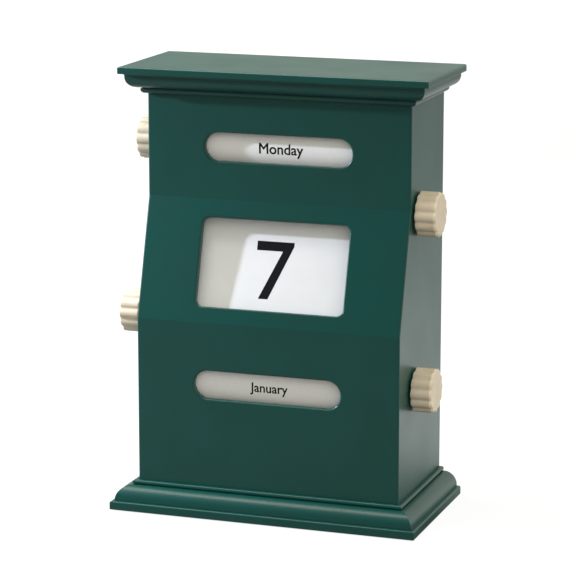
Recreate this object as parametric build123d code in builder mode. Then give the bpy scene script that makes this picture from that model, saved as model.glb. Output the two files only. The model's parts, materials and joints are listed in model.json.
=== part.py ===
from build123d import *
import os
from math import hypot

# A perpetual desk calendar in the shape of a small pillar with a cornice and a plinth.
# The front has three panels. A weekday roller turns behind the slot in the upper panel,
# a date tape runs between two spools behind the window in the sloped panel, and a month
# roller turns behind the slot in the lower panel. Fluted knobs on the side walls turn them.
#
# Millimetres. X runs to the right, Y to the rear, Z up. The origin is the centre of the
# footprint, on the surface that the feet stand on.

os.makedirs("parts", exist_ok=True)

# ---- the whole object ----
overall_height = 200.0
body_width = 122.8
wall = 2.5
moulding_overhang = 10.3     # cornice and plinth stand out from the walls by this much
rear_y = 38.1
half_width = body_width / 2
inner_half_width = half_width - wall

# ---- the three panels of the front, seen from the side ----
upper_front_y = -12.4
lower_front_y = -27.8
upper_fold_z = 141.5
lower_fold_z = 88.0
fold_radius = 0.6
corner_radius = 0.8

# ---- plinth and cornice ----
foot_proud = 0.5             # the base stands this far above the surface, on its feet
plinth_top = 4.4
base_top = 13.0
base_floor_top = 3.0
cornice_bottom = 187.6
cornice_plate = 3.2          # height of the flat top edge
cornice_roof = 2.6
edge_round = 0.8             # upper edges of plate and plinth
under_round = 0.4            # lower edges of plate and plinth
housing_bottom = 10.0        # the housing stands in a seat inside the base's top bead
housing_top = 190.0
seat_gap = 0.1
rim_wall = 2.1               # rims of base and cornice that plug into the housing
rim_height = 6.0

# ---- windows ----
slot_width = 68.8
slot_height = 13.0
weekday_slot_z = 164.9
month_slot_z = 59.7
date_window_width = 69.0
date_window_height = 40.0
date_window_down = 28.2      # centre of the window, measured down the slope
date_window_corner = 3.2
window_edge_radius = 0.8

# ---- rollers, spools and tape ----
roller_depth = 3.8           # from the outer face of a panel to the paper on its roller
weekday_y = 7.0
month_y = -4.2
drum_half = 44.5
drum_wall = 2.0
label_thickness = 0.3
flange_thickness = 1.5
flange_proud = 0.4
tape_thickness = 0.25
tape_gap = 0.3               # between the tape's back and the windings
tape_half_width = 43.8
spool_depth = 12.3           # spool axes lie this far behind the slope's outer face
upper_spool_down = -0.3
lower_spool_down = 51.4
spool_core_radius = 4.0
spool_flange_radius = 8.8
upper_winding_radius = 4.75  # on the 7th most of the tape is on the lower spool
lower_winding_radius = 7.05
rib_width = 2.0
rib_x = 41.5
rib_length = 46.0

# ---- axles and bearings ----
axle_radius = 2.0
bearing_gap = 0.05
boss_radius = 5.5
boss_height = 4.0
washer_radius = 4.5
washer_thickness = 0.8
washer_gap = 0.1
hub_radius = 3.5
hub_end_gap = 0.2
blind_tip_gap = 0.5
flat_depth = 0.6             # flat on the knob end of each axle

# ---- knobs ----
knob_radius = 10.1
knob_length = 9.5
knob_gap = 0.8
knob_lobes = 12
lobe_radius = 2.6
flute_radius = 1.1           # between one lobe and the next
knob_outer_bevel = 0.8
knob_inner_bevel = 0.4
knob_grip = 7.5              # depth of the axle's socket in the knob

# ---- screws, posts and feet ----
screw_radius = 1.45
screw_head_radius = 2.9
screw_head_height = 1.3
recess_width = 0.7
recess_depth = 0.7
pilot_radius = 1.5
clearance_radius = 1.7
counterbore_radius = 3.2
post_radius = 4.0
cover_thickness = 2.4
cover_counterbore = 1.4
cover_screw_length = 10.0
cover_post_length = 12.0
cover_post_x = 53.4
cover_post_z = (26.0, 175.0)
base_post_radius = 4.7
base_post_x = 51.8
base_post_y = (-16.0, 14.0)
base_head_z = 10.5           # screw heads of the base sit this high in their counterbores
base_post_top = 17.4
housing_post_height = 14.0
base_screw_length = 16.0
lug_top = 183.4
lug_thickness = 3.0
lug_size = 9.2
cap_screw_x = 51.8
cap_screw_y = (-2.0, 18.0)
cap_screw_length = 12.0
foot_radius = 6.0
foot_recess = 1.5
foot_x = 60.0
foot_y = 28.0

# ---- worked-out places ----
base_front_y = lower_front_y - moulding_overhang
cornice_front_y = upper_front_y - moulding_overhang
cover_y = rear_y - cover_thickness
slope_length = hypot(lower_front_y - upper_front_y, lower_fold_z - upper_fold_z)
down_y = (lower_front_y - upper_front_y) / slope_length
down_z = (lower_fold_z - upper_fold_z) / slope_length
slope = Plane(origin=(0, upper_front_y, upper_fold_z), x_dir=(1, 0, 0), z_dir=(0, down_z, -down_y))


def on_slope(down, depth):
    """Y and Z of a point this far down the slope and this far behind its outer face."""
    return (upper_front_y + down * down_y - depth * down_z,
            upper_fold_z + down * down_z + depth * down_y)


def tape_face(down):
    """Depth of the tape's face behind the slope's. The tape runs from winding to winding."""
    upper_depth = spool_depth - upper_winding_radius - tape_gap - tape_thickness
    lower_depth = spool_depth - lower_winding_radius - tape_gap - tape_thickness
    share = (down - upper_spool_down) / (lower_spool_down - upper_spool_down)
    return upper_depth + share * (lower_depth - upper_depth)


weekday_axis = (weekday_y, weekday_slot_z)
month_axis = (month_y, month_slot_z)
date_upper_axis = on_slope(upper_spool_down, spool_depth)
date_lower_axis = on_slope(lower_spool_down, spool_depth)
weekday_radius = weekday_y - upper_front_y - roller_depth
month_radius = month_y - lower_front_y - roller_depth

# each turning axis, with the side that its knob is on: 1 is the right, -1 the left
turning_axes = {
    "weekday": (weekday_axis, -1),
    "date_upper": (date_upper_axis, 1),
    "date_lower": (date_lower_axis, -1),
    "month": (month_axis, 1),
}

boss_face_x = inner_half_width - boss_height
flange_x = drum_half + flange_thickness
knob_inner_x = half_width + knob_gap


def hub_end(side, knob_side):
    """X of a hub's end: it runs against the boss, or against the washer on the knob's side."""
    washer = washer_thickness if side == knob_side else 0
    return side * (boss_face_x - washer - hub_end_gap)


def facing_out(axis, side, x):
    """The plane across an axis at distance x from the middle, facing out to that side."""
    return Plane(origin=(side * x, axis[0], axis[1]), x_dir=(0, 1, 0), z_dir=(side, 0, 0))


def along(axis):
    """The plane that holds an axis, with its x along the axis and its y upwards."""
    return Plane(origin=(0, axis[0], axis[1]), x_dir=(1, 0, 0), z_dir=(0, -1, 0))


def save(piece, name):
    """Label a finished piece and write it."""
    piece.part.label = name
    export_step(piece.part, f"parts/{name}.step")


def body_rectangle(front_y, back_y, inset):
    """A rectangle across the body, drawn in from the outer faces of the side walls."""
    width = 2 * (half_width - inset)
    with Locations((0, (front_y + back_y) / 2)):
        Rectangle(width, back_y - front_y)


# ---- front housing: front and side walls in one moulding, open at rear, top and bottom ----
with BuildPart() as front_housing:
    with BuildSketch(Plane.YZ):
        with BuildLine():
            Polyline(
                (rear_y, housing_bottom),
                (lower_front_y, housing_bottom),
                (lower_front_y, lower_fold_z),
                (upper_front_y, upper_fold_z),
                (upper_front_y, housing_top),
                (rear_y, housing_top),
                close=True,
            )
        make_face()
    extrude(amount=half_width, both=True)
    rear_face = front_housing.faces().sort_by(Axis.Y)[-1]
    end_faces = front_housing.faces().filter_by(Axis.Z)
    offset(amount=-wall, openings=end_faces + [rear_face])

    # the two folds across the front, and the corners down its sides
    folds = front_housing.edges().filter_by(Axis.X).filter_by(
        lambda e: abs(e.length - body_width) < wall
        and (abs(e.center().Z - lower_fold_z) < 0.01 or abs(e.center().Z - upper_fold_z) < 0.01)
        and abs(e.center().X) < 0.01
        and e.center().Y < upper_front_y + 0.01
    )
    fillet(folds, fold_radius)
    corners = front_housing.edges().filter_by(
        lambda e: abs(abs(e.center().X) - half_width) < 0.01
        and housing_bottom + 1 < e.center().Z < housing_top - 1
        and e.center().Y < upper_front_y + 1
    )
    fillet(corners, corner_radius)

    # the slots in the two upright panels
    for front_y, slot_z in ((upper_front_y, weekday_slot_z), (lower_front_y, month_slot_z)):
        with BuildSketch(Plane.XZ.offset(-front_y - wall)):
            with Locations((0, slot_z)):
                SlotOverall(slot_width, slot_height)
        extrude(amount=2 * wall, mode=Mode.SUBTRACT)
    # the window in the slope
    with BuildSketch(slope.offset(-1.5 * wall)):
        with Locations((0, -date_window_down)):
            RectangleRounded(date_window_width, date_window_height, date_window_corner)
    extrude(amount=2 * wall, mode=Mode.SUBTRACT)
    # their outer rims are rounded over
    panels = (Plane.XZ.offset(-upper_front_y), Plane.XZ.offset(-lower_front_y), slope)
    rims = front_housing.edges().filter_by(
        lambda e: max(abs(v.X) for v in e.vertices()) < date_window_width / 2 + 0.1
        and any(
            all(abs(panel.to_local_coords(Vector(*v)).Z) < 0.01 for v in e.vertices())
            for panel in panels
        )
    )
    fillet(rims, window_edge_radius)

    # bearing bosses on both walls, open on the knob's side and blind on the other
    for axis, side in turning_axes.values():
        for boss_side in (-1, 1):
            with BuildSketch(facing_out(axis, boss_side, boss_face_x)):
                Circle(boss_radius)
            extrude(amount=boss_height + wall / 2)
            bore_depth = boss_height + 2 * wall if boss_side == side else boss_height
            with BuildSketch(facing_out(axis, boss_side, boss_face_x)):
                Circle(axle_radius + bearing_gap)
            extrude(amount=bore_depth, mode=Mode.SUBTRACT)

    # ribs beside the date window, which hold the margins of the tape
    rib_top = date_window_down - rib_length / 2
    rib_end = date_window_down + rib_length / 2
    for rib_side in (-1, 1):
        with BuildSketch(Plane.YZ.offset(rib_side * rib_x - rib_width / 2)):
            with BuildLine():
                Polyline(
                    on_slope(rib_top, wall / 2), on_slope(rib_end, wall / 2),
                    on_slope(rib_end, tape_face(rib_end)), on_slope(rib_top, tape_face(rib_top)),
                    close=True,
                )
            make_face()
        extrude(amount=rib_width)

    # posts for the rear cover's screws, each on a web from its side wall
    for side in (-1, 1):
        for post_z in cover_post_z:
            with BuildSketch(Plane.XZ.offset(-cover_y)):
                with Locations((side * cover_post_x, post_z)):
                    Circle(post_radius)
                with Locations((side * (cover_post_x + inner_half_width + 1) / 2, post_z)):
                    Rectangle(inner_half_width + 1 - cover_post_x, wall)
                with Locations((side * cover_post_x, post_z)):
                    Circle(pilot_radius, mode=Mode.SUBTRACT)
            extrude(amount=cover_post_length)

    # posts for the base's screws
    for side in (-1, 1):
        for post_y in base_post_y:
            with BuildSketch(Plane.XY.offset(base_post_top)):
                with Locations((side * base_post_x, post_y)):
                    Circle(post_radius)
                with Locations((side * (base_post_x + inner_half_width + 1) / 2, post_y)):
                    Rectangle(inner_half_width + 1 - base_post_x, wall)
                with Locations((side * base_post_x, post_y)):
                    Circle(pilot_radius, mode=Mode.SUBTRACT)
            extrude(amount=housing_post_height)

    # lugs under the cornice for its screws
    for side in (-1, 1):
        for lug_y in cap_screw_y:
            lug_inner_x = cap_screw_x - lug_size / 2
            with BuildSketch(Plane.XY.offset(lug_top - lug_thickness)):
                with Locations((side * (lug_inner_x + inner_half_width + 1) / 2, lug_y)):
                    Rectangle(inner_half_width + 1 - lug_inner_x, lug_size)
                with Locations((side * cap_screw_x, lug_y)):
                    Circle(clearance_radius, mode=Mode.SUBTRACT)
            extrude(amount=lug_thickness)
save(front_housing, "front_housing")


def cornice_edge(reach):
    """The cornice's moulded edge: plate, cove, ovolo, groove, bead. Reach is where the wall is."""
    plate_x = reach + moulding_overhang
    plate_z = overall_height - cornice_plate
    cove_radius = 1.0
    ovolo_radius = 5.0
    ovolo_x = reach + 7.9
    ovolo_bottom = 190.3
    groove_x = reach + 1.8
    bead_radius = 1.8
    bead_x = reach + 2.5
    bead_top = 189.8
    Polyline(
        (bead_x - bead_radius, cornice_bottom), (0, cornice_bottom), (0, overall_height),
        (plate_x - edge_round, overall_height),
    )
    RadiusArc((plate_x - edge_round, overall_height), (plate_x, overall_height - edge_round), edge_round)
    Line((plate_x, overall_height - edge_round), (plate_x, plate_z + under_round))
    RadiusArc((plate_x, plate_z + under_round), (plate_x - under_round, plate_z), under_round)
    Line((plate_x - under_round, plate_z), (ovolo_x + cove_radius, plate_z))
    RadiusArc((ovolo_x + cove_radius, plate_z), (ovolo_x, plate_z - cove_radius), -cove_radius)
    Line((ovolo_x, plate_z - cove_radius), (ovolo_x, ovolo_bottom + ovolo_radius))
    RadiusArc(
        (ovolo_x, ovolo_bottom + ovolo_radius), (ovolo_x - ovolo_radius, ovolo_bottom), ovolo_radius
    )
    Polyline(
        (ovolo_x - ovolo_radius, ovolo_bottom), (groove_x, ovolo_bottom), (groove_x, bead_top),
        (bead_x, bead_top), (bead_x, cornice_bottom + bead_radius),
    )
    RadiusArc(
        (bead_x, cornice_bottom + bead_radius), (bead_x - bead_radius, cornice_bottom), bead_radius
    )


def plinth_edge(reach):
    """The base's moulded edge: plinth, ovolo, groove, bead. Reach is where the wall is."""
    plinth_x = reach + moulding_overhang
    ovolo_radius = 6.2
    ovolo_x = reach + 8.5
    ovolo_top = 11.0
    bead_x = reach + 1.2
    bead_radius = (base_top - ovolo_top) / 2
    Polyline(
        (bead_x, base_top), (0, base_top), (0, foot_proud), (plinth_x - under_round, foot_proud)
    )
    RadiusArc(
        (plinth_x - under_round, foot_proud), (plinth_x, foot_proud + under_round), -under_round
    )
    Line((plinth_x, foot_proud + under_round), (plinth_x, plinth_top - edge_round))
    RadiusArc((plinth_x, plinth_top - edge_round), (plinth_x - edge_round, plinth_top), -edge_round)
    Polyline(
        (plinth_x - edge_round, plinth_top), (ovolo_x, plinth_top),
        (ovolo_x, ovolo_top - ovolo_radius),
    )
    RadiusArc(
        (ovolo_x, ovolo_top - ovolo_radius), (ovolo_x - ovolo_radius, ovolo_top), -ovolo_radius
    )
    Line((ovolo_x - ovolo_radius, ovolo_top), (bead_x, ovolo_top))
    ThreePointArc(
        (bead_x, ovolo_top), (bead_x + bead_radius, ovolo_top + bead_radius), (bead_x, base_top)
    )


def from_rear(x):
    """The upright plane across X, with its x running forwards from the rear face."""
    return Plane(origin=(x, rear_y, 0), x_dir=(0, -1, 0), z_dir=(-1, 0, 0))


# ---- cornice: moulded on the front and both sides, hollow, with a rim into the housing ----
with BuildPart() as cornice_cap:
    with BuildSketch(from_rear(half_width + moulding_overhang)):
        with BuildLine():
            cornice_edge(rear_y - upper_front_y)
        make_face()
    extrude(amount=body_width + 2 * moulding_overhang)
    with BuildSketch(Plane.XZ.offset(-rear_y)):
        with BuildLine():
            cornice_edge(half_width)
        make_face()
        mirror(about=Plane.YZ)
    extrude(amount=rear_y - cornice_front_y, mode=Mode.INTERSECT)
    # the seat over the housing's top edge
    with BuildSketch(Plane.XY.offset(cornice_bottom)):
        body_rectangle(upper_front_y - seat_gap, rear_y + 1, -seat_gap)
    extrude(amount=housing_top - cornice_bottom, mode=Mode.SUBTRACT)
    # the rim, and the hollow inside it
    with BuildSketch(Plane.XY.offset(lug_top)):
        body_rectangle(upper_front_y + wall + seat_gap, cover_y - seat_gap, wall + seat_gap)
    extrude(amount=housing_top - lug_top)
    with BuildSketch(Plane.XY.offset(lug_top)):
        rim_inset = wall + seat_gap + rim_wall
        body_rectangle(upper_front_y + rim_inset, cover_y - seat_gap - rim_wall, rim_inset)
    extrude(amount=overall_height - cornice_roof - lug_top, mode=Mode.SUBTRACT)
    # posts that the cap screws go into
    with BuildSketch(Plane.XY.offset(lug_top)):
        for side in (-1, 1):
            for post_y in cap_screw_y:
                with Locations((side * cap_screw_x, post_y)):
                    Circle(post_radius)
                with Locations((side * cap_screw_x, post_y)):
                    Circle(pilot_radius, mode=Mode.SUBTRACT)
    extrude(amount=overall_height - cornice_roof - lug_top)
save(cornice_cap, "cornice_cap")

# ---- base: moulded tray with a floor, a rim into the housing, and screw posts ----
with BuildPart() as base_plinth:
    with BuildSketch(from_rear(half_width + moulding_overhang)):
        with BuildLine():
            plinth_edge(rear_y - lower_front_y)
        make_face()
    extrude(amount=body_width + 2 * moulding_overhang)
    with BuildSketch(Plane.XZ.offset(-rear_y)):
        with BuildLine():
            plinth_edge(half_width)
        make_face()
        mirror(about=Plane.YZ)
    extrude(amount=rear_y - base_front_y, mode=Mode.INTERSECT)
    # the seat under the housing and the rear cover
    with BuildSketch(Plane.XY.offset(housing_bottom)):
        body_rectangle(lower_front_y - seat_gap, rear_y + 1, -seat_gap)
    extrude(amount=base_top - housing_bottom, mode=Mode.SUBTRACT)
    # the rim, and the hollow inside it
    with BuildSketch(Plane.XY.offset(housing_bottom)):
        body_rectangle(lower_front_y + wall + seat_gap, cover_y - seat_gap, wall + seat_gap)
    extrude(amount=rim_height)
    with BuildSketch(Plane.XY.offset(base_floor_top)):
        rim_inset = wall + seat_gap + rim_wall
        body_rectangle(lower_front_y + rim_inset, cover_y - seat_gap - rim_wall, rim_inset)
    extrude(amount=housing_bottom + rim_height - base_floor_top, mode=Mode.SUBTRACT)
    # screw posts, counterbored from below
    post_places = [(side * base_post_x, post_y) for side in (-1, 1) for post_y in base_post_y]
    with BuildSketch(Plane.XY.offset(foot_proud)):
        with Locations(*post_places):
            Circle(base_post_radius)
    extrude(amount=base_post_top - foot_proud)
    with BuildSketch(Plane.XY.offset(foot_proud)):
        with Locations(*post_places):
            Circle(counterbore_radius)
    extrude(amount=base_head_z - foot_proud, mode=Mode.SUBTRACT)
    with BuildSketch(Plane.XY.offset(base_head_z)):
        with Locations(*post_places):
            Circle(clearance_radius)
    extrude(amount=base_post_top - base_head_z, mode=Mode.SUBTRACT)
    # recesses for the feet
    with BuildSketch(Plane.XY.offset(foot_proud)):
        with GridLocations(2 * foot_x, 2 * foot_y, 2, 2):
            Circle(foot_radius + seat_gap)
    extrude(amount=foot_recess, mode=Mode.SUBTRACT)
save(base_plinth, "base_plinth")

# ---- rear cover: a flat plate let in flush between the side walls ----
with BuildPart() as rear_cover:
    with BuildSketch(Plane.XZ.offset(-rear_y)):
        with Locations((0, (housing_bottom + housing_top) / 2)):
            Rectangle(2 * (inner_half_width - seat_gap), housing_top - housing_bottom)
        with Locations(*[(side * cover_post_x, z) for side in (-1, 1) for z in cover_post_z]):
            Circle(clearance_radius, mode=Mode.SUBTRACT)
    extrude(amount=cover_thickness)
    with BuildSketch(Plane.XZ.offset(-rear_y)):
        with Locations(*[(side * cover_post_x, z) for side in (-1, 1) for z in cover_post_z]):
            Circle(counterbore_radius)
    extrude(amount=cover_counterbore, mode=Mode.SUBTRACT)
save(rear_cover, "rear_cover")

# ---- date tape: the flat stretch between the two spools, on its ribs ----
with BuildPart() as date_tape:
    upper_depth = tape_face(upper_spool_down)
    lower_depth = tape_face(lower_spool_down)
    with BuildSketch(Plane.YZ):
        with BuildLine():
            Polyline(
                on_slope(upper_spool_down, upper_depth),
                on_slope(lower_spool_down, lower_depth),
                on_slope(lower_spool_down, lower_depth + tape_thickness),
                on_slope(upper_spool_down, upper_depth + tape_thickness),
                close=True,
            )
        make_face()
    extrude(amount=tape_half_width, both=True)
save(date_tape, "date_tape")


def flatted_circle():
    """The section of an axle's knob end."""
    Circle(axle_radius)
    with Locations((0, axle_radius)):
        Rectangle(
            2 * axle_radius, flat_depth, align=(Align.CENTER, Align.MAX), mode=Mode.SUBTRACT
        )


def make_knob(name, axis, side):
    """A knob with round lobes and hollow flutes, bevelled at both ends."""
    with BuildPart() as knob:
        with BuildSketch(facing_out(axis, side, knob_inner_x)):
            Circle(knob_radius - lobe_radius)
            with PolarLocations(knob_radius - lobe_radius, knob_lobes):
                Circle(lobe_radius)
            fillet(vertices(), flute_radius)
        extrude(amount=knob_length)
        chamfer(knob.faces().sort_by(Axis.X)[-1 if side > 0 else 0].edges(), knob_outer_bevel)
        chamfer(knob.faces().sort_by(Axis.X)[0 if side > 0 else -1].edges(), knob_inner_bevel)
        with BuildSketch(facing_out(axis, side, knob_inner_x)):
            flatted_circle()
        extrude(amount=knob_grip, mode=Mode.SUBTRACT)
    save(knob, name)


def make_axle(name, axis, side):
    """A steel axle from the blind bearing on one wall, through the other, into the knob."""
    tip_x = inner_half_width - blind_tip_gap
    with BuildPart() as axle:
        with BuildSketch(facing_out(axis, side, -tip_x)):
            Circle(axle_radius)
        extrude(amount=tip_x + knob_inner_x)
        with BuildSketch(facing_out(axis, side, knob_inner_x)):
            flatted_circle()
        extrude(amount=knob_grip)
    save(axle, name)


def make_roller(prefix, axis, radius, knob_side):
    """A drum with a paper strip round it and a flanged end cap in each end."""
    drum_radius = radius - label_thickness
    bore_radius = drum_radius - drum_wall
    plug_depth = 5.0
    plug_wall = 1.6
    with BuildPart() as roller:
        with BuildSketch(facing_out(axis, 1, -drum_half)):
            Circle(drum_radius)
            Circle(bore_radius, mode=Mode.SUBTRACT)
        extrude(amount=2 * drum_half)
    save(roller, f"{prefix}_roller")
    with BuildPart() as label:
        with BuildSketch(facing_out(axis, 1, -drum_half)):
            Circle(radius)
            Circle(drum_radius, mode=Mode.SUBTRACT)
        extrude(amount=2 * drum_half)
    save(label, f"{prefix}_label")
    with BuildPart() as end_caps:
        for side in (-1, 1):
            hub_end_x = hub_end(side, knob_side)
            with BuildSketch(along(axis)):
                with BuildLine():
                    Polyline(
                        (hub_end_x, axle_radius), (hub_end_x, hub_radius),
                        (side * flange_x, hub_radius), (side * flange_x, radius + flange_proud),
                        (side * drum_half, radius + flange_proud),
                        (side * drum_half, bore_radius),
                        (side * (drum_half - plug_depth), bore_radius),
                        (side * (drum_half - plug_depth), bore_radius - plug_wall),
                        (side * drum_half, bore_radius - plug_wall),
                        (side * drum_half, axle_radius),
                        close=True,
                    )
                make_face()
            revolve(axis=Axis((0, axis[0], axis[1]), (1, 0, 0)))
    save(end_caps, f"{prefix}_end_caps")


def make_spool(prefix, axis, winding_radius, knob_side):
    """A flanged spool in one moulding, and the turns of tape wound on it."""
    left_end_x = hub_end(-1, knob_side)
    right_end_x = hub_end(1, knob_side)
    with BuildPart() as spool:
        with BuildSketch(along(axis)):
            with BuildLine():
                Polyline(
                    (left_end_x, axle_radius), (right_end_x, axle_radius),
                    (right_end_x, hub_radius), (flange_x, hub_radius),
                    (flange_x, spool_flange_radius), (drum_half, spool_flange_radius),
                    (drum_half, spool_core_radius), (-drum_half, spool_core_radius),
                    (-drum_half, spool_flange_radius), (-flange_x, spool_flange_radius),
                    (-flange_x, hub_radius), (left_end_x, hub_radius),
                    close=True,
                )
            make_face()
        revolve(axis=Axis((0, axis[0], axis[1]), (1, 0, 0)))
    save(spool, f"{prefix}_spool")
    with BuildPart() as winding:
        with BuildSketch(facing_out(axis, 1, -tape_half_width)):
            Circle(winding_radius)
            Circle(spool_core_radius, mode=Mode.SUBTRACT)
        extrude(amount=2 * tape_half_width)
    save(winding, f"{prefix}_winding")


for prefix, (axis, side) in turning_axes.items():
    make_knob(f"{prefix}_knob", axis, side)
    make_axle(f"{prefix}_axle", axis, side)
for prefix, radius in (("weekday", weekday_radius), ("month", month_radius)):
    axis, side = turning_axes[prefix]
    make_roller(prefix, axis, radius, side)
for prefix, radius in (("date_upper", upper_winding_radius), ("date_lower", lower_winding_radius)):
    axis, side = turning_axes[prefix]
    make_spool(prefix, axis, radius, side)

# ---- friction washers: one on the knob's end of every axle, against its boss ----
with BuildPart() as friction_washers:
    for axis, side in turning_axes.values():
        with BuildSketch(facing_out(axis, side, boss_face_x - washer_thickness)):
            Circle(washer_radius)
            Circle(axle_radius + washer_gap, mode=Mode.SUBTRACT)
        extrude(amount=washer_thickness)
save(friction_washers, "friction_washers")


def make_screws(name, length, seats, facing):
    """Pan-head screws with a cross recess, whose heads bear on these seats and face this way."""
    with BuildPart() as screw:
        with BuildSketch(Plane.XY):
            Circle(screw_head_radius)
        extrude(amount=screw_head_height)
        with BuildSketch(Plane.XY):
            Circle(screw_radius)
        extrude(amount=-length)
        with BuildSketch(Plane.XY.offset(screw_head_height)):
            Rectangle(screw_head_radius, recess_width)
            Rectangle(recess_width, screw_head_radius)
        extrude(amount=-recess_depth, mode=Mode.SUBTRACT)
    with BuildPart() as screws:
        with Locations(*[Plane(origin=seat, x_dir=(1, 0, 0), z_dir=facing) for seat in seats]):
            add(screw.part)
    save(screws, name)


cover_seats = [
    (side * cover_post_x, rear_y - cover_counterbore, z) for side in (-1, 1) for z in cover_post_z
]
base_seats = [(x, y, base_head_z) for x, y in post_places]
cap_seats = [
    (side * cap_screw_x, y, lug_top - lug_thickness) for side in (-1, 1) for y in cap_screw_y
]
make_screws("cover_screws", cover_screw_length, cover_seats, (0, 1, 0))
make_screws("base_screws", base_screw_length, base_seats, (0, 0, -1))
make_screws("cap_screws", cap_screw_length, cap_seats, (0, 0, -1))

# ---- rubber feet, let into the underside ----
with BuildPart() as rubber_feet:
    with BuildSketch(Plane.XY):
        with GridLocations(2 * foot_x, 2 * foot_y, 2, 2):
            Circle(foot_radius)
    extrude(amount=foot_proud + foot_recess)
    chamfer(rubber_feet.faces().sort_by(Axis.Z)[:4].edges(), foot_proud / 2)
save(rubber_feet, "rubber_feet")
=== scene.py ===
import json
from math import cos, pi, radians, sin

import bmesh
import bpy
from mathutils import Matrix, Vector


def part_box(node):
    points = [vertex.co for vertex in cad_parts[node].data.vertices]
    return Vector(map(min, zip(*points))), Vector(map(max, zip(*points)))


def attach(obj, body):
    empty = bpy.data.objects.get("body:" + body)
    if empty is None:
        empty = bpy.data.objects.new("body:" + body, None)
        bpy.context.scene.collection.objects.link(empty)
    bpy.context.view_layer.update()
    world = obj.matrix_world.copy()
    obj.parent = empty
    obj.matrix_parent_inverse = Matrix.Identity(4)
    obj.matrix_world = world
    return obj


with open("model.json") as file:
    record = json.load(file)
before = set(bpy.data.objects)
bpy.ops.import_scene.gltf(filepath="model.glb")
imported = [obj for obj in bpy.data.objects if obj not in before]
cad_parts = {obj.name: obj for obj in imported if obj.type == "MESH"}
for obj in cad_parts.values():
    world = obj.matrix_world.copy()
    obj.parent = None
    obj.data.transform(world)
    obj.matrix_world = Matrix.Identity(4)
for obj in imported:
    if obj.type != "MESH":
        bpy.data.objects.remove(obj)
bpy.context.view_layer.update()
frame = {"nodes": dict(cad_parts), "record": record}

# Looks for a perpetual desk calendar: camera, finishes, printed words and number, lights.
nodes = frame["nodes"]
scene = bpy.context.scene
mm = 0.001


view = {
    "azimuth": 19.09,          # degrees to the right of straight on
    "elevation": 12.16,        # degrees above level
    "roll": 0.03,
    "target": (0.56, 0.0, 100.47),   # mm
    "distance": 1207.0,        # mm
    "lens": 167.85,
    "sensor": 36.0,
    "clip": (0.05, 50.0),      # m, nearest and farthest that is seen
}


def makeCamera():
    azimuth = radians(view["azimuth"])
    elevation = radians(view["elevation"])
    target = Vector(view["target"]) * mm
    out = Vector((
        sin(azimuth) * cos(elevation), -cos(azimuth) * cos(elevation), sin(elevation)
    ))
    data = bpy.data.cameras.new("camera")
    data.lens = view["lens"]
    data.sensor_width = view["sensor"]
    data.clip_start, data.clip_end = view["clip"]
    camera = bpy.data.objects.new("camera", data)
    scene.collection.objects.link(camera)
    camera.location = target + out * view["distance"] * mm
    facing = (-out).to_track_quat("-Z", "Y").to_matrix().to_4x4()
    turn = Matrix.Rotation(radians(view["roll"]), 4, "Z")
    camera.rotation_euler = (facing @ turn).to_euler()
    scene.camera = camera


makeCamera()
print("camera placed")


def linear(hexColour):
    # sRGB hex to the linear values that the shaders take
    parts = [int(hexColour[i:i + 2], 16) / 255 for i in (1, 3, 5)]
    return [c / 12.92 if c <= 0.04045 else ((c + 0.055) / 1.055) ** 2.4 for c in parts] + [1.0]


def addNode(tree, kind, settings=None, links=None):
    # a key is an input's name or number, or a property of the node
    node = tree.nodes.new(kind)
    for key, value in (settings or {}).items():
        if isinstance(key, int) or key in node.inputs:
            node.inputs[key].default_value = value
        else:
            setattr(node, key, value)
    for key, source in (links or {}).items():
        tree.links.new(source, node.inputs[key])
    return node


def startMaterial(name, settings):
    material = bpy.data.materials.new(name)
    material.use_nodes = True
    tree = material.node_tree
    shader = tree.nodes["Principled BSDF"]
    for key, value in settings.items():
        shader.inputs[key].default_value = value
    return material, tree, shader


def makeFinish(name, finish):
    # mottle mixes the two colours, and relief is a bump: both are noise on Object coordinates
    material, tree, shader = startMaterial(name, finish["shader"])
    spot = addNode(tree, "ShaderNodeTexCoord").outputs["Object"]
    if "stretch" in finish:
        spot = addNode(
            tree, "ShaderNodeMapping", {"Scale": finish["stretch"]}, {"Vector": spot}
        ).outputs["Vector"]
    mottle = finish["mottle"]
    pattern = addNode(
        tree, "ShaderNodeTexNoise",
        {"Scale": 1 / (mottle["size"] * mm), "Detail": mottle["detail"]}, {"Vector": spot},
    ).outputs["Fac"]
    low, high = mottle["between"]
    tone = addNode(
        tree, "ShaderNodeMapRange", {"From Min": low, "From Max": high}, {"Value": pattern}
    )
    first, second = finish["colours"]
    colour = addNode(
        tree, "ShaderNodeMix", {"data_type": "RGBA", 6: linear(first), 7: linear(second)},
        {0: tone.outputs["Result"]},
    )
    tree.links.new(colour.outputs[2], shader.inputs["Base Color"])
    if "roughness" in finish:
        smooth, rough = finish["roughness"]
        sheen = addNode(
            tree, "ShaderNodeMapRange",
            {"From Min": low, "From Max": high, "To Min": smooth, "To Max": rough},
            {"Value": pattern},
        )
        tree.links.new(sheen.outputs["Result"], shader.inputs["Roughness"])
    if "relief" in finish:
        relief = finish["relief"]
        height = addNode(
            tree, "ShaderNodeTexNoise",
            {"Scale": 1 / (relief["size"] * mm), "Detail": relief["detail"]}, {"Vector": spot},
        )
        bump = addNode(
            tree, "ShaderNodeBump",
            {"Distance": relief["depth"] * mm, "Strength": relief["strength"]},
            {"Height": height.outputs["Fac"]},
        )
        tree.links.new(bump.outputs["Normal"], shader.inputs["Normal"])
    return material


# In each finish, sizes and depths are in mm, and between gives the noise values from which
# the second colour sets in and at which it is full.

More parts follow.
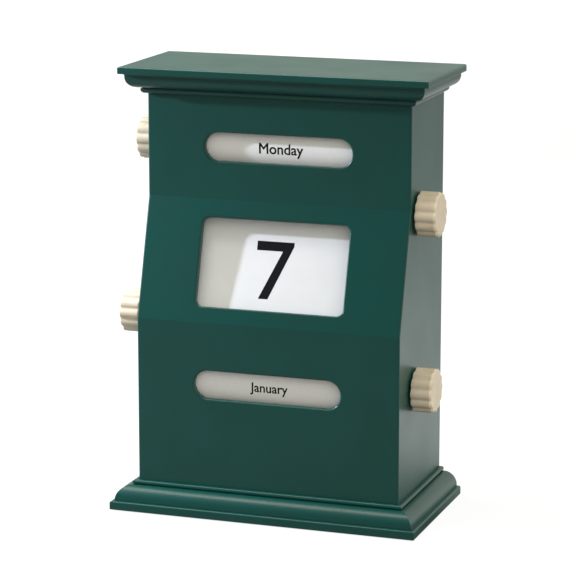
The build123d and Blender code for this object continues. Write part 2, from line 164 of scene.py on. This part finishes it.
# ABS, injection moulded in a spark-eroded mould: an even deep green with a soft sheen
greenAbs = {
    "shader": {"IOR": 1.5},
    "roughness": (0.34, 0.38),
    "colours": ("#074841", "#06443c"),
    "mottle": {"size": 28.0, "detail": 2, "between": (0.3, 0.7)},   # drift of pigment and sheen
    # the mould's texture, drawn coarser than real so that it shows
    "relief": {"size": 0.35, "detail": 3, "depth": 0.012, "strength": 0.2},
}

# ABS, moulded smooth: cream, softly glossy, with a little light going in at the edges
creamAbs = {
    "shader": {
        "IOR": 1.5, "Roughness": 0.45, "Subsurface Weight": 0.12, "Subsurface Scale": 0.002,
        "Subsurface Radius": (1.0, 0.7, 0.4),
    },
    "colours": ("#e2d4be", "#d8c8ad"),
    "mottle": {"size": 6.0, "detail": 2, "between": (0.3, 0.7)},
    "relief": {"size": 0.5, "detail": 3, "depth": 0.015, "strength": 0.3},
}

# coated label paper, calendered: nearly matt white with faint fibre clouds
whitePaper = {
    "shader": {"IOR": 1.5, "Roughness": 0.62},
    "colours": ("#f4f3f0", "#f0eeea"),
    "mottle": {"size": 0.8, "detail": 5, "between": (0.35, 0.65)},
    "relief": {"size": 0.8, "detail": 5, "depth": 0.006, "strength": 0.1},
}

# polyester film, cast and coated matt: even cool white, a trace smoother than paper
tapeFilm = {
    "shader": {"IOR": 1.5, "Roughness": 0.55},
    "colours": ("#e6e6e6", "#e3e3e2"),
    "mottle": {"size": 9.0, "detail": 2, "between": (0.3, 0.7)},
    "relief": {"size": 9.0, "detail": 2, "depth": 0.03, "strength": 0.1},
}

# offset ink, printed on coated stock: near black, with a slightly uneven film
printInk = {
    "shader": {"IOR": 1.5, "Roughness": 0.6, "Specular IOR Level": 0.15},
    "colours": ("#0c0d0f", "#121315"),
    "mottle": {"size": 0.25, "detail": 3, "between": (0.4, 0.75)},
}

# polystyrene, moulded: white drums, caps and spools with a low sheen
whiteStyrene = {
    "shader": {"IOR": 1.59, "Roughness": 0.4},
    "colours": ("#dedcd6", "#d3d1ca"),
    "mottle": {"size": 0.4, "detail": 3, "between": (0.35, 0.65)},
    "relief": {"size": 0.4, "detail": 3, "depth": 0.01, "strength": 0.2},
}

# steel rod, drawn: fine lines along the rod, which stretch the highlights
drawnSteel = {
    "shader": {"Metallic": 1.0, "Roughness": 0.32},
    "colours": ("#b9bcbf", "#9ea1a4"),
    "stretch": (0.025, 1.0, 1.0),     # the lines are 6 mm long and 0.15 mm wide
    "mottle": {"size": 0.15, "detail": 2, "between": (0.35, 0.65)},
    "relief": {"size": 0.15, "detail": 2, "depth": 0.01, "strength": 0.2},
}

# steel screws, zinc-plated: bright grey with cloudy passivation
zincPlate = {
    "shader": {"Metallic": 1.0, "Roughness": 0.34},
    "colours": ("#c3c6c4", "#a9aca8"),
    "mottle": {"size": 0.7, "detail": 3, "between": (0.3, 0.7)},
    "relief": {"size": 0.7, "detail": 3, "depth": 0.01, "strength": 0.2},
}

# natural nylon, punched from sheet: milky and slightly waxy
naturalNylon = {
    "shader": {
        "IOR": 1.53, "Roughness": 0.45, "Subsurface Weight": 0.2, "Subsurface Scale": 0.001,
    },
    "colours": ("#e4e1d5", "#d8d4c5"),
    "mottle": {"size": 1.2, "detail": 2, "between": (0.0, 1.0)},
}

# rubber, die-cut from sheet: dark, matt, with a dusty bloom
blackRubber = {
    "shader": {"IOR": 1.5, "Roughness": 0.8},
    "colours": ("#232323", "#35342f"),
    "mottle": {"size": 0.3, "detail": 4, "between": (0.45, 0.75)},
    "relief": {"size": 0.3, "detail": 4, "depth": 0.03, "strength": 0.4},
}

finishes = {
    "green_plastic": makeFinish("greenAbs", greenAbs),
    "cream_plastic": makeFinish("creamAbs", creamAbs),
    "label_paper": makeFinish("whitePaper", whitePaper),
    "tape_film": makeFinish("tapeFilm", tapeFilm),
    "white_plastic": makeFinish("whiteStyrene", whiteStyrene),
    "axle_steel": makeFinish("drawnSteel", drawnSteel),
    "screw_steel": makeFinish("zincPlate", zincPlate),
    "washer_nylon": makeFinish("naturalNylon", naturalNylon),
    "foot_rubber": makeFinish("blackRubber", blackRubber),
}
ink = makeFinish("printInk", printInk)

for row in frame["record"]["subparts"]:
    piece = nodes[row["node"]]
    if not piece.data.materials:
        piece.data.materials.append(None)
    for place in piece.material_slots:
        place.material = finishes[row["material_slot"]]
print("finishes set")


weekdayPrint = {
    "names": ("Monday", "Tuesday", "Wednesday", "Thursday", "Friday", "Saturday", "Sunday"),
    "capHeight": 4.8,      # mm
    "narrow": 0.97,        # width of the letters against the font's own
    "label": "weekday_label",
    "body": "weekday",
}
monthPrint = {
    "names": ("January", "February", "March", "April", "May", "June", "July", "August",
              "September", "October", "November", "December"),
    "capHeight": 4.3,
    "narrow": 0.97,
    "label": "month_label",
    "body": "month",
}
inkFilm = {"sunk": 0.02, "proud": 0.03, "step": 0.5}   # mm
lettering = {              # in the font's own units
    "weight": 0.016,       # each side of a stroke is thickened by this much
    "mitreLimit": 2.0,     # a corner moves out by no more than this many weights
    "merge": 1e-5,
    "curveSteps": 4,
}


def makeLetters(text):
    letters = bpy.data.curves.new(text, "FONT")
    letters.body = text
    letters.align_x = "CENTER"
    letters.resolution_u = lettering["curveSteps"]
    holder = bpy.data.objects.new(text, letters)
    scene.collection.objects.link(holder)
    bpy.context.view_layer.update()
    evaluated = holder.evaluated_get(bpy.context.evaluated_depsgraph_get())
    mesh = bpy.data.meshes.new_from_object(evaluated)
    bpy.data.objects.remove(holder)
    bpy.data.curves.remove(letters)
    shape = bmesh.new()
    shape.from_mesh(mesh)
    bpy.data.meshes.remove(mesh)
    bmesh.ops.remove_doubles(shape, verts=shape.verts, dist=lettering["merge"])
    # heavier strokes: each point of an outline moves out from the letter
    pushes = {}
    for edge in shape.edges:
        if edge.is_boundary:
            along = edge.verts[1].co - edge.verts[0].co
            out = along.cross(Vector((0, 0, 1))).normalized()
            if out.dot(edge.verts[0].co - edge.link_faces[0].calc_center_median()) < 0:
                out.negate()
            for v in edge.verts:
                pushes.setdefault(v, []).append(out)
    for v, outs in pushes.items():
        middle = sum(outs, Vector()) / len(outs)
        reach = lettering["weight"] / max(middle.length, 1 / lettering["mitreLimit"])
        v.co += middle.normalized() * reach
    return shape


def capSize():
    # the height of a capital H, in the font's own units
    shape = makeLetters("H")
    heights = [v.co.y for v in shape.verts]
    shape.free()
    return max(heights) - min(heights)


def thicken(shape):
    # ink film: a little into the surface at z = 0 and a little out of it
    skin = bmesh.ops.extrude_face_region(shape, geom=shape.faces[:])
    raised = [v for v in skin["geom"] if isinstance(v, bmesh.types.BMVert)]
    depth = (inkFilm["sunk"] + inkFilm["proud"]) * mm
    bmesh.ops.translate(shape, vec=(0, 0, depth), verts=raised)
    bmesh.ops.translate(shape, vec=(0, 0, -inkFilm["sunk"] * mm), verts=shape.verts)


def addPrint(name, shape, body):
    bmesh.ops.recalc_face_normals(shape, faces=shape.faces)
    mesh = bpy.data.meshes.new(name)
    shape.to_mesh(mesh)
    shape.free()
    mesh.materials.append(ink)
    piece = bpy.data.objects.new(name, mesh)
    scene.collection.objects.link(piece)
    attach(piece, body)


def printOnDrum(name, settings):
    low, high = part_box(settings["label"])
    axisY = (low.y + high.y) / 2
    axisZ = (low.z + high.z) / 2
    radius = (high.z - low.z) / 2
    size = settings["capHeight"] * mm / capSize()
    step = inkFilm["step"] * mm
    joined = bmesh.new()
    for place, word in enumerate(settings["names"]):
        shape = makeLetters(word)
        bmesh.ops.scale(shape, vec=(size * settings["narrow"], size, size), verts=shape.verts)
        lift = -settings["capHeight"] / 2 * mm
        bmesh.ops.translate(shape, vec=(0, lift, 0), verts=shape.verts)
        # cuts across the letters let them follow the drum
        level = min(v.co.y for v in shape.verts) + step
        top = max(v.co.y for v in shape.verts)
        while level < top:
            bmesh.ops.bisect_plane(
                shape, geom=shape.verts[:] + shape.edges[:] + shape.faces[:],
                plane_co=(0, level, 0), plane_no=(0, 1, 0),
            )
            level += step
        thicken(shape)
        turn = 2 * pi * place / len(settings["names"])
        for v in shape.verts:
            angle = v.co.y / radius + turn
            reach = radius + v.co.z
            v.co = (v.co.x, axisY - reach * cos(angle), axisZ + reach * sin(angle))
        part = bpy.data.meshes.new(word)
        shape.to_mesh(part)
        shape.free()
        joined.from_mesh(part)
        bpy.data.meshes.remove(part)
    addPrint(name, joined, settings["body"])


printOnDrum("weekdayWords", weekdayPrint)
printOnDrum("monthWords", monthPrint)

sevenPrint = {
    "height": 25.9, "width": 17.3,      # mm
    "bar": 4.2,                         # thickness of the top bar
    "foot": (2.8, 7.3),                 # left and right ends of the stroke's foot
    "inner": 12.3,                      # where the stroke meets the bar's underside
    "corner": 1.9,                      # length of the bar's upright right end
    "middle": (-1.1, 111.3),            # x and z
}


def printSeven():
    # the number lies on the tape's front face, which leans back
    front = max(nodes["date_tape"].data.polygons, key=lambda p: -p.normal.y * p.area)
    onFace = nodes["date_tape"].data.vertices[front.vertices[0]].co
    out = front.normal.normalized()
    up = out.cross(Vector((1, 0, 0)))
    across, height = [v * mm for v in sevenPrint["middle"]]
    middle = Vector((across, onFace.y - (height - onFace.z) * out.z / out.y, height))
    w = sevenPrint["width"]
    h = sevenPrint["height"]
    left, right = sevenPrint["foot"]
    barFoot = h - sevenPrint["bar"]
    outline = [
        (0, h), (w, h), (w, h - sevenPrint["corner"]), (right, 0), (left, 0),
        (sevenPrint["inner"], barFoot), (0, barFoot),
    ]
    shape = bmesh.new()
    shape.faces.new([shape.verts.new(((x - w / 2) * mm, (y - h / 2) * mm, 0)) for x, y in outline])
    thicken(shape)
    turn = Matrix((Vector((1, 0, 0)), up, out)).transposed()
    bmesh.ops.transform(
        shape, matrix=Matrix.Translation(middle) @ turn.to_4x4(), verts=shape.verts
    )
    addPrint("dateNumber", shape, "root")


printSeven()
print("words and number printed")


stage = {
    "floorSize": 6.0,                    # m
    "floorColour": "#7d7c7b",
    "floorLampPoolColour": "#a8a7a6",
    "floorLeft": (-0.5, -0.12),          # m, between these the floor turns paler to the left: painted light, the key lamp's pool of light on the floor
    "floorGlow": 0.85,                   # what the camera sees on top of the floor's colour
    # reflections see the floor behind glow: it rises and then falls between these distances, m
    "rearRise": {"From Min": 0.0, "From Max": 0.12, "To Min": 0.0, "To Max": 1.0},
    "rearFall": {"From Min": 0.2, "From Max": 0.9, "To Min": 1.0, "To Max": 0.4},
    "roomColour": "#fffdf3",
    "roomLevel": 0.54,
    "roomLean": (1.0, -0.33, 0.22),      # the room is brighter to the right and in front
    "mirrorLevel": 0.5,
    "mirrorLean": (0.5, 0.45, -0.38),    # in reflections, to the right and to the rear
    "brightest": 3.0,
}
lamps = {
    # a small lamp close by on the left, a little in front and above
    "keyLight": {
        "shape": "DISK", "from": (-0.48, -0.11, 0.204), "size": 0.02, "watts": 4.2,
        "colour": "#dfe9ff",
    },
    # a soft box overhead
    "topLight": {
        "shape": "SQUARE", "from": (-0.2, -0.04, 0.62), "size": 0.36, "watts": 3.1,
        "colour": "#fffdf3",
    },
}


def makeStage():
    # pale floor that looks white and keeps a faint shadow
    shape = bmesh.new()
    bmesh.ops.create_grid(shape, x_segments=1, y_segments=1, size=stage["floorSize"] / 2)
    mesh = bpy.data.meshes.new("floor")
    shape.to_mesh(mesh)
    shape.free()
    floor = bpy.data.objects.new("floor", mesh)
    scene.collection.objects.link(floor)
    material, tree, shader = startMaterial("floorPaint", {
        "Roughness": 0.9, "Specular IOR Level": 0.0,
    })
    place = addNode(tree, "ShaderNodeTexCoord")
    parts = addNode(tree, "ShaderNodeSeparateXYZ", {}, {"Vector": place.outputs["Object"]})
    # painted light: the floor's colour turns paler to the left, where the key lamp lights the
    # floor
    left, right = stage["floorLeft"]
    across = addNode(
        tree, "ShaderNodeMapRange", {"From Min": left, "From Max": right},
        {"Value": parts.outputs["X"]},
    )
    lampPoolColour, mainColour = [linear(stage[key]) for key in ("floorLampPoolColour", "floorColour")]
    colour = addNode(
        tree, "ShaderNodeMix", {"data_type": "RGBA", 6: lampPoolColour, 7: mainColour},
        {0: across.outputs["Result"]},
    )
    tree.links.new(colour.outputs[2], shader.inputs["Base Color"])
    rise, fall = [
        addNode(tree, "ShaderNodeMapRange", stage[key], {"Value": parts.outputs["Y"]})
        for key in ("rearRise", "rearFall")
    ]
    rear = addNode(
        tree, "ShaderNodeMath", {"operation": "MULTIPLY"},
        {0: rise.outputs["Result"], 1: fall.outputs["Result"]},
    )
    rays = addNode(tree, "ShaderNodeLightPath")
    mirrored = addNode(
        tree, "ShaderNodeMix", {"data_type": "FLOAT", 2: 0.0},
        {0: rays.outputs["Is Glossy Ray"], 3: rear.outputs["Value"]},
    )
    seen = addNode(
        tree, "ShaderNodeMix", {"data_type": "FLOAT", 3: stage["floorGlow"]},
        {0: rays.outputs["Is Camera Ray"], 2: mirrored.outputs[0]},
    )
    glow = addNode(tree, "ShaderNodeEmission", {}, {"Strength": seen.outputs[0]})
    both = addNode(
        tree, "ShaderNodeAddShader", {},
        {0: shader.outputs["BSDF"], 1: glow.outputs["Emission"]},
    )
    tree.links.new(both.outputs["Shader"], tree.nodes["Material Output"].inputs["Surface"])
    mesh.materials.append(material)


def leaningLight(tree, towards, level, lean):
    # level sideways to the lean, more along it and less against it, never below nothing
    dot = addNode(
        tree, "ShaderNodeVectorMath", {"operation": "DOT_PRODUCT", 1: lean}, {0: towards}
    )
    top = stage["brightest"]
    return addNode(
        tree, "ShaderNodeMapRange",
        {"From Min": -level, "From Max": top - level, "To Min": 0.0, "To Max": top},
        {"Value": dot.outputs["Value"]},
    ).outputs["Result"]


def makeWorld():
    world = bpy.data.worlds.new("studio")
    scene.world = world
    world.use_nodes = True
    tree = world.node_tree
    sky = tree.nodes["Background"]
    towards = addNode(tree, "ShaderNodeTexCoord").outputs["Generated"]
    room = leaningLight(tree, towards, stage["roomLevel"], stage["roomLean"])
    mirrored = leaningLight(tree, towards, stage["mirrorLevel"], stage["mirrorLean"])
    rays = addNode(tree, "ShaderNodeLightPath")
    white = linear("#ffffff")
    colour = addNode(
        tree, "ShaderNodeMix", {"data_type": "RGBA", 6: linear(stage["roomColour"]), 7: white},
        {0: rays.outputs["Is Camera Ray"]},
    )
    tree.links.new(colour.outputs[2], sky.inputs["Color"])
    strength = addNode(
        tree, "ShaderNodeMix", {"data_type": "FLOAT"},
        {0: rays.outputs["Is Glossy Ray"], 2: room, 3: mirrored},
    )
    # glass and the camera see plain white
    for ray in ("Is Transmission Ray", "Is Camera Ray"):
        strength = addNode(
            tree, "ShaderNodeMix", {"data_type": "FLOAT", 3: 1.0},
            {0: rays.outputs[ray], 2: strength.outputs[0]},
        )
    tree.links.new(strength.outputs[0], sky.inputs["Strength"])


def makeLamps():
    for name, settings in lamps.items():
        data = bpy.data.lights.new(name, "AREA")
        data.shape = settings["shape"]
        data.size = settings["size"]
        data.energy = settings["watts"]
        data.color = linear(settings["colour"])[:3]
        lamp = bpy.data.objects.new(name, data)
        scene.collection.objects.link(lamp)
        away = Vector(settings["from"])
        lamp.location = Vector(view["target"]) * mm + away
        lamp.rotation_euler = away.to_track_quat("Z", "Y").to_euler()
        lamp.visible_camera = False


makeStage()
makeWorld()
makeLamps()
scene.view_settings.view_transform = "Standard"
print("stage lit")
